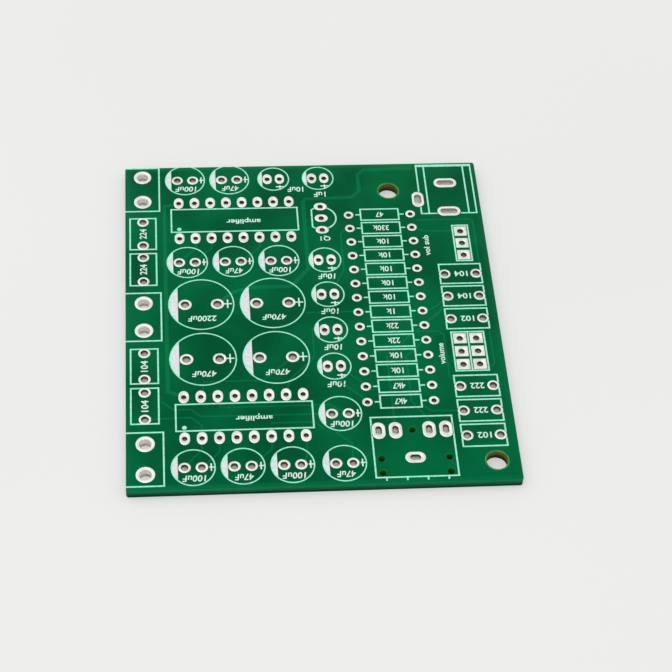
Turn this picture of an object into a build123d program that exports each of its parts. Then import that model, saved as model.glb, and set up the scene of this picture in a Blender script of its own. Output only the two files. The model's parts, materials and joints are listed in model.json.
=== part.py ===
from build123d import *
from collections import namedtuple
import os

# Bare double-sided circuit board of a small amplifier, as made and before any component is
# fitted: a drilled laminate, tinned pads through it and a printed legend on its upper face.
# Millimetres. X runs across the board, Y away from the front edge, Z up. The origin is under
# the board's centre, in the plane of the lower lands.

# Board
board_thickness = 1.6
board_corner_radius = 0.4
mounting_hole_diameter = 3.2
mounting_front_inset = 3.5
mounting_rear_inset = 6.11
mounting_rear_shift = 1.87
mounting_gap = 2.0

# Tinned pads
land_rise = 0.05
hexagon_point_share = 0.289
octagon_corner_share = 0.293

# Printed legend
ink_thickness = 0.03
ink_width = 0.25
ring_ink_width = 0.2
ink_gap = 0.08
ring_sides = 10

# Screw terminals, two poles each, along the left edge
terminal_pitch = 5.44
terminal_land_diameter = 2.8
terminal_hole_diameter = 1.8
terminal_frame_reach = 5.6
terminal_frame_depth = 9.8
terminal_edge_inset = 2.81
terminal_front_margin = 0.6

# Film capacitors, in a column at each side
film_pitch = 5.0
film_land_diameter = 1.82
film_hole_diameter = 1.02
film_frame_margin = 1.85
film_left_frame_width = 4.35
film_right_frame_width = 4.25
film_terminal_gap = 1.33
film_left_gap = 0.64
film_right_gap = 0.345
film_right_margin = 1.475
film_mounting_gap = 0.9
film_resistor_gap = 2.55
film_jack_gap = 0.9

# Two amplifier circuits in dual in-line packages
ic_row_pins = 8
ic_pitch = 2.54
ic_row_spacing = 7.62
ic_land_width = 1.55
ic_land_length = 2.3
ic_hole_diameter = 0.76
ic_frame_length = 20.5
ic_frame_width = 5.15
ic_terminal_gap = 1.61
ic_front_gap = 0.8
ic_rear_gap = 0.66

# Transistor in a half-round case
transistor_pins = 3
transistor_pitch = 2.54
transistor_land_width = 1.6
transistor_land_length = 2.1
transistor_hole_diameter = 0.85
transistor_case_radius = 2.5
transistor_flat_offset = 1.62
transistor_gap = 2.0

# Resistors, one above the other
resistor_count = 14
resistor_pitch = 10.0
resistor_spacing = 2.916
resistor_land_diameter = 1.55
resistor_hole_diameter = 0.76
resistor_frame_length = 6.4
resistor_frame_width = 2.62
resistor_capacitor_gap = 0.175
resistor_jack_gap = 1.465

# Electrolytic capacitors in three sizes
small_capacitor_pitch = 2.0
small_capacitor_land_width = 1.5
small_capacitor_land_length = 2.2
small_capacitor_hole_diameter = 0.8
small_capacitor_ring_diameter = 5.2
small_capacitor_gap = 1.94
small_capacitor_front_gap = 3.1
small_capacitor_shift = 0.27
medium_capacitor_pitch = 2.5
medium_capacitor_land_diameter = 1.8
medium_capacitor_hole_diameter = 0.95
medium_capacitor_ring_diameter = 6.5
medium_capacitor_gap = 0.7
medium_capacitor_terminal_gap = 0.84
medium_capacitor_right_gap = 0.6
medium_capacitor_front_margin = 0.55
medium_capacitor_rear_inset = 3.0
large_capacitor_pitch = 5.0
large_capacitor_land_diameter = 2.05
large_capacitor_hole_diameter = 1.15
large_capacitor_ring_diameter = 10.2
large_capacitor_gap_across = 0.85
large_capacitor_gap_away = 0.59
large_capacitor_terminal_gap = 0.95
large_capacitor_front_gap = 0.9
large_capacitor_rear_gap = 0.33

# Pin headers for the volume controls
header_pins = 3
header_pitch = 2.54
header_land_side = 2.0
header_hole_diameter = 0.95
header_frame_margin = 2.75
header_shift = 0.29
volume_header_near_gap = 0.665
volume_header_far_gap = 0.42
sub_volume_header_gap = 0.46

# Power jack, with two flat contacts in line and one at its side
power_contact_spacing = 6.31
power_contact_land_length = 3.75
power_contact_land_width = 2.0
power_contact_slot_length = 2.6
power_contact_slot_width = 0.9
power_side_offset_across = 4.83
power_side_offset_near = 0.45
power_side_land_length = 3.3
power_side_land_width = 1.9
power_side_slot_length = 1.9
power_side_slot_width = 1.0
power_frame_width = 9.25
power_frame_depth = 11.1
power_frame_offset_far = 1.8
power_barrel_width = 6.5
power_face_ink_width = 0.5
power_right_margin = 0.64
power_rear_margin = 0.35
power_header_gap = 2.0

# Audio jack, with four contacts in a row, one behind them and five locating pegs
audio_contact_pitch = 2.5
audio_sleeve_offset_near = 4.97
audio_land_length = 3.0
audio_land_width = 1.95
audio_slot_length = 1.45
audio_slot_width = 0.8
audio_peg_hole_diameter = 1.04
audio_peg_offset_near = 5.08
audio_peg_spacing = 2.54
audio_frame_width = 12.35
audio_frame_depth = 11.1
audio_frame_offset_near = 2.98
audio_front_margin = 0.9
audio_capacitor_gap = 1.0
audio_tick_length = 0.45
audio_tick_pitch = 3.03
audio_tick_count = 4

# Room that each component takes up in its column and its row
film_frame_length = film_pitch + film_frame_margin
ic_reach = (ic_row_spacing + ic_land_length) / 2
transistor_reach = ((transistor_pins - 1) * transistor_pitch + transistor_land_width) / 2
resistor_reach = (resistor_pitch + resistor_land_diameter) / 2
resistor_run = (resistor_count - 1) * resistor_spacing
small_radius = small_capacitor_ring_diameter / 2
medium_radius = medium_capacitor_ring_diameter / 2
large_radius = large_capacitor_ring_diameter / 2
header_frame_length = (header_pins - 1) * header_pitch + header_frame_margin

# Columns of components, from the board's left edge to the right
medium_step = medium_capacitor_ring_diameter + medium_capacitor_gap
medium_first_column = terminal_frame_reach + medium_capacitor_terminal_gap + medium_radius
medium_second_column = medium_first_column + medium_step
medium_third_column = medium_second_column + medium_step
ic_column = terminal_frame_reach + ic_terminal_gap + ic_frame_length / 2
large_left_column = terminal_frame_reach + large_capacitor_terminal_gap + large_radius
large_right_column = large_left_column + large_capacitor_ring_diameter + large_capacitor_gap_across
left_block_end = max(
    medium_third_column + medium_radius,
    ic_column + ic_frame_length / 2,
    large_right_column + large_radius,
)
medium_last_column = left_block_end + medium_capacitor_right_gap + medium_radius
small_column = medium_last_column - small_capacitor_shift
capacitor_end = medium_last_column + medium_radius
resistor_column = capacitor_end + resistor_capacitor_gap + resistor_reach
audio_column = capacitor_end + audio_capacitor_gap + audio_frame_width / 2
film_right_start = max(
    resistor_column + resistor_reach + film_resistor_gap,
    audio_column + audio_frame_width / 2 + film_jack_gap,
)
film_right_column = film_right_start + film_frame_length / 2
volume_header_column = film_right_column - header_shift
sub_volume_header_column = volume_header_column + header_pitch / 2
board_width = film_right_start + film_frame_length + film_right_margin
power_column = board_width - power_right_margin - power_frame_width / 2

# Rows at the left edge, from the board's front edge to the rear
film_left_step = film_frame_length + film_left_gap
film_terminal_step = terminal_frame_depth / 2 + film_terminal_gap + film_frame_length / 2
terminal_front_row = terminal_front_margin + terminal_frame_depth / 2
film_left_first_row = terminal_front_row + film_terminal_step
film_left_second_row = film_left_first_row + film_left_step
terminal_middle_row = film_left_second_row + film_terminal_step
film_left_third_row = terminal_middle_row + film_terminal_step
film_left_fourth_row = film_left_third_row + film_left_step
terminal_rear_inset = terminal_frame_depth / 2
left_rows_depth = film_left_fourth_row + film_terminal_step + terminal_rear_inset

# Rows of electrolytic capacitors and amplifier circuits
medium_front_row = medium_capacitor_front_margin + medium_radius
ic_front_row = medium_front_row + medium_radius + ic_front_gap + ic_reach
large_front_row = ic_front_row + ic_reach + large_capacitor_front_gap + large_radius
large_rear_row = large_front_row + large_capacitor_ring_diameter + large_capacitor_gap_away
medium_middle_row = large_rear_row + large_radius + large_capacitor_rear_gap + medium_radius
ic_rear_step = medium_radius + ic_rear_gap + ic_reach
capacitor_rows_depth = medium_middle_row + 2 * ic_rear_step + medium_capacitor_rear_inset

# Rows of the small capacitors, with room for a value between them, and the transistor's beyond
small_step = small_capacitor_ring_diameter + small_capacitor_gap
small_first_row = ic_front_row + medium_radius + small_capacitor_front_gap + small_radius
small_second_row = small_first_row + small_step
small_third_row = small_second_row + small_step
small_fourth_row = small_third_row + small_step
transistor_first_row = small_fourth_row + small_radius + transistor_gap + transistor_reach

# Rows of the audio jack and the resistors
audio_frame_row = audio_front_margin + audio_frame_depth / 2
audio_row = audio_frame_row + audio_frame_offset_near
audio_end = audio_front_margin + audio_frame_depth
resistor_first_row = audio_end + resistor_jack_gap + resistor_frame_width / 2
resistor_middle_row = resistor_first_row + resistor_run / 2
resistor_end = resistor_first_row + resistor_run + resistor_frame_width / 2
resistor_rows_depth = resistor_end + mounting_gap + mounting_hole_diameter / 2 + mounting_rear_inset

# Rows at the right edge
film_right_step = film_right_frame_width + film_right_gap
film_header_step = (film_right_frame_width + header_frame_length) / 2
film_right_first_row = (
    mounting_front_inset + mounting_hole_diameter / 2 + film_mounting_gap + film_right_frame_width / 2
)
film_right_second_row = film_right_first_row + film_right_step
film_right_third_row = film_right_second_row + film_right_step
volume_header_row = film_right_third_row + film_header_step + volume_header_near_gap
film_right_fourth_row = volume_header_row + film_header_step + volume_header_far_gap
film_right_fifth_row = film_right_fourth_row + film_right_step
film_right_sixth_row = film_right_fifth_row + film_right_step
sub_volume_header_row = film_right_sixth_row + film_header_step + sub_volume_header_gap
right_rows_end = sub_volume_header_row + header_frame_length / 2
right_rows_depth = right_rows_end + power_header_gap + power_frame_depth + power_rear_margin

# The board is as deep as its longest stack of rows, and the last rows stand at its rear edge
board_depth = max(left_rows_depth, capacitor_rows_depth, resistor_rows_depth, right_rows_depth)
terminal_rear_row = board_depth - terminal_rear_inset
medium_rear_row = board_depth - medium_capacitor_rear_inset
ic_rear_row = medium_rear_row - ic_rear_step
transistor_row = max(ic_rear_row, transistor_first_row)
power_frame_row = board_depth - power_rear_margin - power_frame_depth / 2
power_row = power_frame_row - power_frame_offset_far

across = Vector(1, 0)
away = Vector(0, 1)
pad_height = board_thickness + land_rise + land_rise
board_plane = Plane.XY.offset(land_rise)
legend_plane = Plane.XY.offset(land_rise + board_thickness)

Pads = namedtuple("Pads", "outline land hole places")


def on_board(column, row):
    """A place on the board, from its distances to the left and the front edge."""
    return Vector(column - board_width / 2, row - board_depth / 2)


def up_column(column, *rows):
    """Places one beyond the other on the board."""
    return [on_board(column, row) for row in rows]


def along_row(row, *columns):
    """Places side by side on the board."""
    return [on_board(column, row) for column in columns]


def row_of(centre, pitch, count, direction):
    """Places of a row of leads about a component's centre."""
    steps = [index - (count - 1) / 2 for index in range(count)]
    return [centre + direction * (pitch * step) for step in steps]


def lead_pairs(centres, pitch, direction):
    """Places of the two leads of each of several like components."""
    return [lead for centre in centres for lead in row_of(centre, pitch, 2, direction)]


def six_sided(size_x, size_y, mode=Mode.ADD):
    """A small round or oblong outline, with a point at each end of its longer side."""
    side = min(size_x, size_y) / 2
    end = max(size_x, size_y) / 2
    shoulder = end - 2 * side * hexagon_point_share
    turn = 90 if size_x > size_y else 0
    Polygon(
        (side, shoulder), (0, end), (-side, shoulder),
        (-side, -shoulder), (0, -end), (side, -shoulder),
        rotation=turn, mode=mode,
    )


def eight_sided(size_x, size_y, mode=Mode.ADD):
    """A larger round or oblong outline, a rectangle with its corners cut back."""
    x, y = size_x / 2, size_y / 2
    corner = min(size_x, size_y) * octagon_corner_share
    Polygon(
        (x, y - corner), (x - corner, y), (corner - x, y), (-x, y - corner),
        (-x, corner - y), (corner - x, -y), (x - corner, -y), (x, corner - y),
        mode=mode,
    )


def square_cornered(size_x, size_y, mode=Mode.ADD):
    """A land with square corners."""
    Rectangle(size_x, size_y, mode=mode)


def round_pads(outline, land, hole, places):
    """Pads as wide as they are long."""
    return Pads(outline, (land, land), (hole, hole), places)


terminal_rear = on_board(terminal_edge_inset, terminal_rear_row)
terminal_middle = on_board(terminal_edge_inset, terminal_middle_row)
terminal_front = on_board(terminal_edge_inset, terminal_front_row)
terminal_centres = [terminal_rear, terminal_middle, terminal_front]
film_left_centres = up_column(
    terminal_edge_inset,
    film_left_first_row,
    film_left_second_row,
    film_left_third_row,
    film_left_fourth_row,
)
film_right_centres = up_column(
    film_right_column,
    film_right_first_row,
    film_right_second_row,
    film_right_third_row,
    film_right_fourth_row,
    film_right_fifth_row,
    film_right_sixth_row,
)
ic_rear = on_board(ic_column, ic_rear_row)
ic_front = on_board(ic_column, ic_front_row)
transistor_centre = on_board(small_column, transistor_row)
resistor_middle = on_board(resistor_column, resistor_middle_row)
resistor_centres = row_of(resistor_middle, resistor_spacing, resistor_count, away)
small_capacitor_centres = up_column(
    small_column, small_first_row, small_second_row, small_third_row, small_fourth_row
) + along_row(medium_rear_row, medium_third_column, small_column)
medium_capacitor_centres = (
    along_row(
        medium_front_row,
        medium_first_column,
        medium_second_column,
        medium_third_column,
        medium_last_column,
    )
    + along_row(ic_front_row, medium_last_column)
    + along_row(medium_middle_row, medium_first_column, medium_second_column, medium_third_column)
    + along_row(medium_rear_row, medium_first_column, medium_second_column)
)
large_capacitor_centres = along_row(
    large_front_row, large_left_column, large_right_column
) + along_row(large_rear_row, large_left_column, large_right_column)
volume_header = on_board(volume_header_column, volume_header_row)
sub_volume_header = on_board(sub_volume_header_column, sub_volume_header_row)
power_jack = on_board(power_column, power_row)
power_frame = on_board(power_column, power_frame_row)
audio_jack = on_board(audio_column, audio_row)
audio_frame = on_board(audio_column, audio_frame_row)
mounting_holes = [
    on_board(resistor_column + mounting_rear_shift, board_depth - mounting_rear_inset),
    on_board(board_width - mounting_front_inset, mounting_front_inset),
]

# The audio jack's contacts stand either side of its middle, where a peg hole takes the fifth place
audio_places = row_of(audio_jack, audio_contact_pitch, 5, across)
audio_contacts = audio_places[:2] + audio_places[3:]
audio_sleeve = audio_jack - away * audio_sleeve_offset_near
audio_pegs = [audio_jack]
for outer_contact in (audio_places[0], audio_places[-1]):
    inner_peg = outer_contact - away * audio_peg_offset_near
    audio_pegs += [inner_peg, inner_peg - away * audio_peg_spacing]
power_contacts = row_of(power_jack, power_contact_spacing, 2, away)
power_side_contact = power_jack - across * power_side_offset_across - away * power_side_offset_near


def terminal_pads(centre):
    """The two pads of a screw terminal."""
    places = row_of(centre, terminal_pitch, 2, away)
    return [round_pads(eight_sided, terminal_land_diameter, terminal_hole_diameter, places)]


def film_pads(centres, direction):
    """The pads of a column of film capacitors."""
    places = lead_pairs(centres, film_pitch, direction)
    return [round_pads(six_sided, film_land_diameter, film_hole_diameter, places)]


def ic_pads(centre):
    """The two rows of pads of a dual in-line package."""
    ends = row_of(centre, ic_row_spacing, 2, away)
    places = [pin for end in ends for pin in row_of(end, ic_pitch, ic_row_pins, across)]
    land = (ic_land_width, ic_land_length)
    return [Pads(six_sided, land, (ic_hole_diameter, ic_hole_diameter), places)]


def header_pads(columns):
    """The square pads of a pin header."""
    places = [pin for centre in columns for pin in row_of(centre, header_pitch, header_pins, away)]
    land = (header_land_side, header_land_side)
    return [Pads(square_cornered, land, (header_hole_diameter, header_hole_diameter), places)]


pad_groups = {
    "terminal_pads_rear": terminal_pads(terminal_rear),
    "terminal_pads_middle": terminal_pads(terminal_middle),
    "terminal_pads_front": terminal_pads(terminal_front),
    "film_capacitor_pads_left": film_pads(film_left_centres, away),
    "film_capacitor_pads_right": film_pads(film_right_centres, across),
    "amplifier_pads_rear": ic_pads(ic_rear),
    "amplifier_pads_front": ic_pads(ic_front),
    "transistor_pads": [
        Pads(
            six_sided,
            (transistor_land_length, transistor_land_width),
            (transistor_hole_diameter, transistor_hole_diameter),
            row_of(transistor_centre, transistor_pitch, transistor_pins, away),
        )
    ],
    "resistor_pads": [
        round_pads(
            six_sided,
            resistor_land_diameter,
            resistor_hole_diameter,
            lead_pairs(resistor_centres, resistor_pitch, across),
        )
    ],
    "small_capacitor_pads": [
        Pads(
            six_sided,
            (small_capacitor_land_width, small_capacitor_land_length),
            (small_capacitor_hole_diameter, small_capacitor_hole_diameter),
            lead_pairs(small_capacitor_centres, small_capacitor_pitch, across),
        )
    ],
    "medium_capacitor_pads": [
        round_pads(
            six_sided,
            medium_capacitor_land_diameter,
            medium_capacitor_hole_diameter,
            lead_pairs(medium_capacitor_centres, medium_capacitor_pitch, across),
        )
    ],
    "large_capacitor_pads": [
        round_pads(
            six_sided,
            large_capacitor_land_diameter,
            large_capacitor_hole_diameter,
            lead_pairs(large_capacitor_centres, large_capacitor_pitch, across),
        )
    ],
    "volume_header_pads": header_pads(row_of(volume_header, header_pitch, 2, across)),
    "sub_volume_header_pads": header_pads([sub_volume_header]),
    "power_jack_pads": [
        Pads(
            eight_sided,
            (power_contact_land_length, power_contact_land_width),
            (power_contact_slot_length, power_contact_slot_width),
            power_contacts,
        ),
        Pads(
            eight_sided,
            (power_side_land_width, power_side_land_length),
            (power_side_slot_width, power_side_slot_length),
            [power_side_contact],
        ),
    ],
    "audio_jack_pads": [
        Pads(
            six_sided,
            (audio_land_width, audio_land_length),
            (audio_slot_width, audio_slot_length),
            audio_contacts,
        ),
        Pads(
            six_sided,
            (audio_land_length, audio_land_width),
            (audio_slot_length, audio_slot_width),
            [audio_sleeve],
        ),
    ],
}


def cut_lands(rows, clearance):
    """Openings for some pads, each larger than its land by a clearance all round."""
    for pads in rows:
        size_x, size_y = pads.land
        with Locations(*pads.places):
            pads.outline(size_x + 2 * clearance, size_y + 2 * clearance, Mode.SUBTRACT)


def trim_print(*nodes):
    """The print stops at its components' lands and at the board's edges."""
    for node in nodes:
        cut_lands(pad_groups[node], ink_gap)
    RectangleRounded(board_width, board_depth, board_corner_radius, mode=Mode.INTERSECT)


def frame_lines(centres, size_x, size_y):
    """Rectangles drawn in ink about several centres."""
    with Locations(*centres):
        Rectangle(size_x, size_y)
    with Locations(*centres):
        Rectangle(size_x - 2 * ink_width, size_y - 2 * ink_width, mode=Mode.SUBTRACT)


def flat_sided(radius, flat_offset):
    """A round outline cut straight on its left, at an offset from its centre."""
    with BuildSketch(mode=Mode.PRIVATE) as outline:
        RegularPolygon(radius, ring_sides)
        with Locations((-flat_offset, 0)):
            Rectangle(2 * radius, 2 * radius, align=(Align.MIN, Align.CENTER), mode=Mode.INTERSECT)
    return outline.sketch


def capacitor_rings(centres, ring_diameter, pitch, land_width):
    """Rings about electrolytic capacitors, each filled on its negative side up to the land."""
    radius = ring_diameter / 2
    bare_inside = flat_sided(radius - ring_ink_width, pitch / 2 + land_width / 2 + ink_gap)
    with Locations(*centres):
        RegularPolygon(radius, ring_sides)
    with Locations(*centres):
        add(bare_inside, mode=Mode.SUBTRACT)


def save(piece, node):
    """Name a finished piece and write it."""
    piece.part.label = node
    export_step(piece.part, f"parts/{node}.step")


os.makedirs("parts", exist_ok=True)

# The laminate, drilled for the pads, the jack's pegs and the two fixing screws
with BuildPart() as board:
    with BuildSketch(board_plane):
        RectangleRounded(board_width, board_depth, board_corner_radius)
        for rows in pad_groups.values():
            cut_lands(rows, 0)
        with Locations(*mounting_holes):
            Circle(mounting_hole_diameter / 2, mode=Mode.SUBTRACT)
        with Locations(*audio_pegs):
            six_sided(audio_peg_hole_diameter, audio_peg_hole_diameter, Mode.SUBTRACT)
    extrude(amount=board_thickness)
save(board, "board")

# Each pad is a tinned sleeve through the board, with a land on both faces
for node, rows in pad_groups.items():
    with BuildPart() as pad_sleeves:
        with BuildSketch(Plane.XY):
            for pads in rows:
                with Locations(*pads.places):
                    pads.outline(*pads.land)
                with Locations(*pads.places):
                    pads.outline(*pads.hole, Mode.SUBTRACT)
        extrude(amount=pad_height)
    save(pad_sleeves, node)

# Three-sided frames of the screw terminals, open at the board's left edge
with BuildPart() as terminal_outlines:
    with BuildSketch(legend_plane):
        edge_places = [Vector(-board_width / 2, centre.Y) for centre in terminal_centres]
        with Locations(*edge_places):
            Rectangle(terminal_frame_reach, terminal_frame_depth, align=(Align.MIN, Align.CENTER))
        with Locations(*edge_places):
            Rectangle(
                terminal_frame_reach - ink_width,
                terminal_frame_depth - 2 * ink_width,
                align=(Align.MIN, Align.CENTER),
                mode=Mode.SUBTRACT,
            )
        trim_print("terminal_pads_rear", "terminal_pads_middle", "terminal_pads_front")
    extrude(amount=ink_thickness)
save(terminal_outlines, "terminal_outlines")

with BuildPart() as film_capacitor_outlines:
    with BuildSketch(legend_plane):
        frame_lines(film_left_centres, film_left_frame_width, film_frame_length)
        frame_lines(film_right_centres, film_frame_length, film_right_frame_width)
        trim_print("film_capacitor_pads_left", "film_capacitor_pads_right")
    extrude(amount=ink_thickness)
save(film_capacitor_outlines, "film_capacitor_outlines")

with BuildPart() as amplifier_outlines:
    with BuildSketch(legend_plane):
        frame_lines([ic_rear, ic_front], ic_frame_length, ic_frame_width)
        trim_print("amplifier_pads_rear", "amplifier_pads_front")
    extrude(amount=ink_thickness)
save(amplifier_outlines, "amplifier_outlines")

# Half-round outline of the transistor, flat towards the left
with BuildPart() as transistor_outline:
    with BuildSketch(legend_plane):
        whole_case = flat_sided(transistor_case_radius, transistor_flat_offset)
        bare_case = flat_sided(transistor_case_radius - ink_width, transistor_flat_offset - ink_width)
        with Locations(transistor_centre):
            add(whole_case)
            add(bare_case, mode=Mode.SUBTRACT)
        trim_print("transistor_pads")
    extrude(amount=ink_thickness)
save(transistor_outline, "transistor_outline")

with BuildPart() as resistor_outlines:
    with BuildSketch(legend_plane):
        frame_lines(resistor_centres, resistor_frame_length, resistor_frame_width)
        trim_print("resistor_pads")
    extrude(amount=ink_thickness)
save(resistor_outlines, "resistor_outlines")

with BuildPart() as capacitor_outlines:
    with BuildSketch(legend_plane):
        capacitor_rings(
            small_capacitor_centres,
            small_capacitor_ring_diameter,
            small_capacitor_pitch,
            small_capacitor_land_width,
        )
        capacitor_rings(
            medium_capacitor_centres,
            medium_capacitor_ring_diameter,
            medium_capacitor_pitch,
            medium_capacitor_land_diameter,
        )
        capacitor_rings(
            large_capacitor_centres,
            large_capacitor_ring_diameter,
            large_capacitor_pitch,
            large_capacitor_land_diameter,
        )
        trim_print("small_capacitor_pads", "medium_capacitor_pads", "large_capacitor_pads")
    extrude(amount=ink_thickness)
save(capacitor_outlines, "capacitor_outlines")

# Frames of the pin headers, the wider one with a line between its two columns
with BuildPart() as header_outlines:
    with BuildSketch(legend_plane):
        frame_lines([sub_volume_header], header_frame_margin, header_frame_length)
        frame_lines([volume_header], header_frame_margin + header_pitch, header_frame_length)
        with Locations(volume_header):
            Rectangle(ink_width, header_frame_length)
        trim_print("volume_header_pads", "sub_volume_header_pads")
    extrude(amount=ink_thickness)
save(header_outlines, "header_outlines")

# Outline of the power jack, with the sides of its barrel and a wide line under its face, and
# outline of the audio jack
with BuildPart() as jack_outlines:
    power_face = power_frame + away * (power_frame_depth / 2)
    audio_front = audio_frame - away * (audio_frame_depth / 2)
    with BuildSketch(legend_plane):
        frame_lines([power_frame], power_frame_width, power_frame_depth)
        frame_lines([audio_frame], audio_frame_width, audio_frame_depth)
        with Locations(*row_of(power_frame, power_barrel_width, 2, across)):
            Rectangle(ink_width, power_frame_depth)
        with Locations(power_face):
            Rectangle(power_frame_width, power_face_ink_width, align=(Align.CENTER, Align.MAX))
        with Locations(*row_of(audio_front, audio_tick_pitch, audio_tick_count, across)):
            Rectangle(ink_width, audio_tick_length, align=(Align.CENTER, Align.MAX))
        trim_print("power_jack_pads", "audio_jack_pads")
    extrude(amount=ink_thickness)
save(jack_outlines, "jack_outlines")
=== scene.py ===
import json
import math

import bpy
from mathutils import Matrix, Vector


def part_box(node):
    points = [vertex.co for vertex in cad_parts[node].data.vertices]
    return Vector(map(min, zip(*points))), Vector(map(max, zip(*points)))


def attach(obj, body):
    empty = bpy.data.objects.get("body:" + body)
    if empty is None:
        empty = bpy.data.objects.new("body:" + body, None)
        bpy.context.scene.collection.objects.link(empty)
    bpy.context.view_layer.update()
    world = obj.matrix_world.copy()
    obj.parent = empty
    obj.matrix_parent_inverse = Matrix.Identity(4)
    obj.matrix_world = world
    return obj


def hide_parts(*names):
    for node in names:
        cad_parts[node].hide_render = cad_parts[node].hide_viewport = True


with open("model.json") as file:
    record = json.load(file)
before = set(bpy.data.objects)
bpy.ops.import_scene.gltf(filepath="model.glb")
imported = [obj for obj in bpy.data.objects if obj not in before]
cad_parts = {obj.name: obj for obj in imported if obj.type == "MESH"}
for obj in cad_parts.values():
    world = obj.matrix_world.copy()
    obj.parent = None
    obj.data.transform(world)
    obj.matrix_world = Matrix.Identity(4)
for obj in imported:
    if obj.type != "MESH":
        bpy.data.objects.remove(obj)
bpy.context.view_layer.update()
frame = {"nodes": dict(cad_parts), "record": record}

# Bare circuit board of a small amplifier. Metres, in the frame of the solids: X across the board,
# Y away from the front edge, Z up out of the printed face.
MM = 0.001

# Laminate
corner_radius = 0.4 * MM
corner_steps = 6
edge_break = 0.07 * MM
edge_steps = 2
laminate_smoothing = math.radians(40)
drill_overrun = 1.0 * MM

# Holes that aren't plated, and the rings about them where the mask stops short
peg_hole = 1.04 * MM
peg_offsets = (5.08 * MM, 7.62 * MM)
jack_row_contacts = 4
plain_hole_steps = 48
peg_rim_width = 0.13 * MM
screw_rim_width = 0.22 * MM
rim_rise = 0.01 * MM

# Tinned lands, and the plating down their holes
plating = 0.06 * MM
land_shoulder = 0.05 * MM
land_round = 0.16 * MM
lip_round = 0.08 * MM
# Depths below the top at which a bore's painted band of light and shade starts to fade and where it ends:
# painted shade round narrow holes, painted light at the top of wide ones
mouth_depth = 0.2 * MM
painted_band_depth = 0.7 * MM
wide_mouth_depth = 0.5 * MM
wide_painted_band_depth = 1.5 * MM
small_land_steps = 28
large_land_steps = 36
large_land = 1.9 * MM
land_smoothing = math.radians(50)

# Printed frames, rings and signs
ink_rise = 0.03 * MM
ring_stroke = 0.2 * MM
ring_steps = 72
line_stroke = 0.25 * MM
ink_gap = 0.08 * MM
sign_stroke = 0.22 * MM
large_plus = 4.07 * MM
large_plus_arm = 0.85 * MM
medium_plus = 2.6 * MM
medium_plus_end = 0.44 * MM
small_plus = 1.0 * MM
small_plus_near = 1.75 * MM
plus_arm = 0.66 * MM
plus_gap = 0.28 * MM
lead_stroke = 0.24 * MM
lead_gap = 0.3 * MM
dot_diameter = 0.7 * MM
dot_left = 8.9 * MM
dot_near = 1.84 * MM

# Printed letters: an advance is the length for each letter, a shift is from a component's middle
letter_rise = 0.025 * MM
letter_height = 1.1 * MM
letter_weight = 0.018
letter_slant = 0.12
letter_curve_steps = 3
facing_rear = math.pi
facing_right = math.pi / 2
value_advance = 0.64 * MM
medium_advance = 0.69 * MM
large_advance = 0.74 * MM
film_advance = 0.7 * MM
centred = (0, 0)
right_film_shift = (0.08 * MM, 0)
medium_value_shift = (0.1 * MM, -1.93 * MM)
large_value_shift = (0.1 * MM, -2.85 * MM)
small_value_shift = (0.08 * MM, -3.45 * MM)
rear_left_value_shift = (3.5 * MM, -2.4 * MM)
rear_right_value_shift = (0.1 * MM, -3.6 * MM)

# Printed names: length and height, and the shift from the middle of the component's lands
amplifier_name = (5.5 * MM, 1.3 * MM)
amplifier_name_shift = (1.4 * MM, -0.25 * MM)
transistor_name = (1.6 * MM, letter_height)
transistor_name_shift = (0.4 * MM, -4.35 * MM)
volume_name = (4.1 * MM, 0.95 * MM)
volume_name_shift = (-4.4 * MM, -0.35 * MM)
sub_volume_name = (4.3 * MM, 0.95 * MM)
sub_volume_name_shift = (-5.75 * MM, -0.35 * MM)

# Copper tracks under the mask
track_rise = 0.03 * MM
power_track = 0.7 * MM
signal_track = 0.3 * MM
track_curve_steps = 3
track_smoothing = math.radians(60)

# Finishes: how the mask pales along the edges, how deep each grain is, how even the floor looks
paling_start = 1.1 * MM
paling_end = 0.3 * MM
end_paleness = 0.6
side_share = 0.4
fine_grain = 0.02 * MM
plated_grain = 0.03 * MM
cloth_grain = 0.05 * MM
floor_evenness = 0.5

# Camera, floor and light
camera_target = Vector((3.293, -4.385, 1.65)) * MM
camera_azimuth = math.radians(-7.339)
camera_elevation = math.radians(50.682)
camera_roll = math.radians(4.272)
camera_distance = 294.503 * MM
camera_lens = 103.087
camera_sensor = 36
camera_near_limit = 0.01
floor_size = 3.0
floor_gap = 0.01 * MM
world_strength = 0.85
lamp_place = (-0.25, 0.1, 0.6)
lamp_size = 0.5
lamp_power = 0.9

# Tolerances: for merged corners, for cuts and for sizes that count as one
merge_distance = 0.001 * MM
cut_tolerance = 0.0001 * MM
size_tolerance = 0.01 * MM

# How far up a level face's normal points at least, and a steep one's at most, and the share of a solid's
# half size within which its corners belong to its hole
level_normal = 0.9
steep_normal = 0.3
rim_share = 0.9

board_low, board_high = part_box("board")
board_top = board_high.z
board_bottom = board_low.z
board_half_x = board_high.x
board_half_y = board_high.y


# Working with pieces

def deselect():
    """Nothing is selected or being edited."""
    if bpy.context.object and bpy.context.object.mode != "OBJECT":
        bpy.ops.object.mode_set(mode="OBJECT")
    bpy.ops.object.select_all(action="DESELECT")


def take(piece):
    """Make a piece the one that operators act on."""
    deselect()
    piece.select_set(True)
    bpy.context.view_layer.objects.active = piece


def settle(piece):
    """Put a piece's place, turn and size into its mesh."""
    take(piece)
    bpy.ops.object.transform_apply(location=True, rotation=True, scale=True)
    return piece


def everything(part):
    """Choose every corner, edge or face."""
    return True


def pick(piece, element, wanted=everything):
    """Edit a piece with just the wanted corners, edges or faces selected."""
    take(piece)
    bpy.ops.object.mode_set(mode="EDIT")
    bpy.ops.mesh.select_mode(type=element)
    bpy.ops.mesh.select_all(action="DESELECT")
    bpy.ops.object.mode_set(mode="OBJECT")
    mesh = piece.data
    parts = {"VERT": mesh.vertices, "EDGE": mesh.edges, "FACE": mesh.polygons}[element]
    for part in parts:
        part.select = wanted(part)
    bpy.ops.object.mode_set(mode="EDIT")


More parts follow.
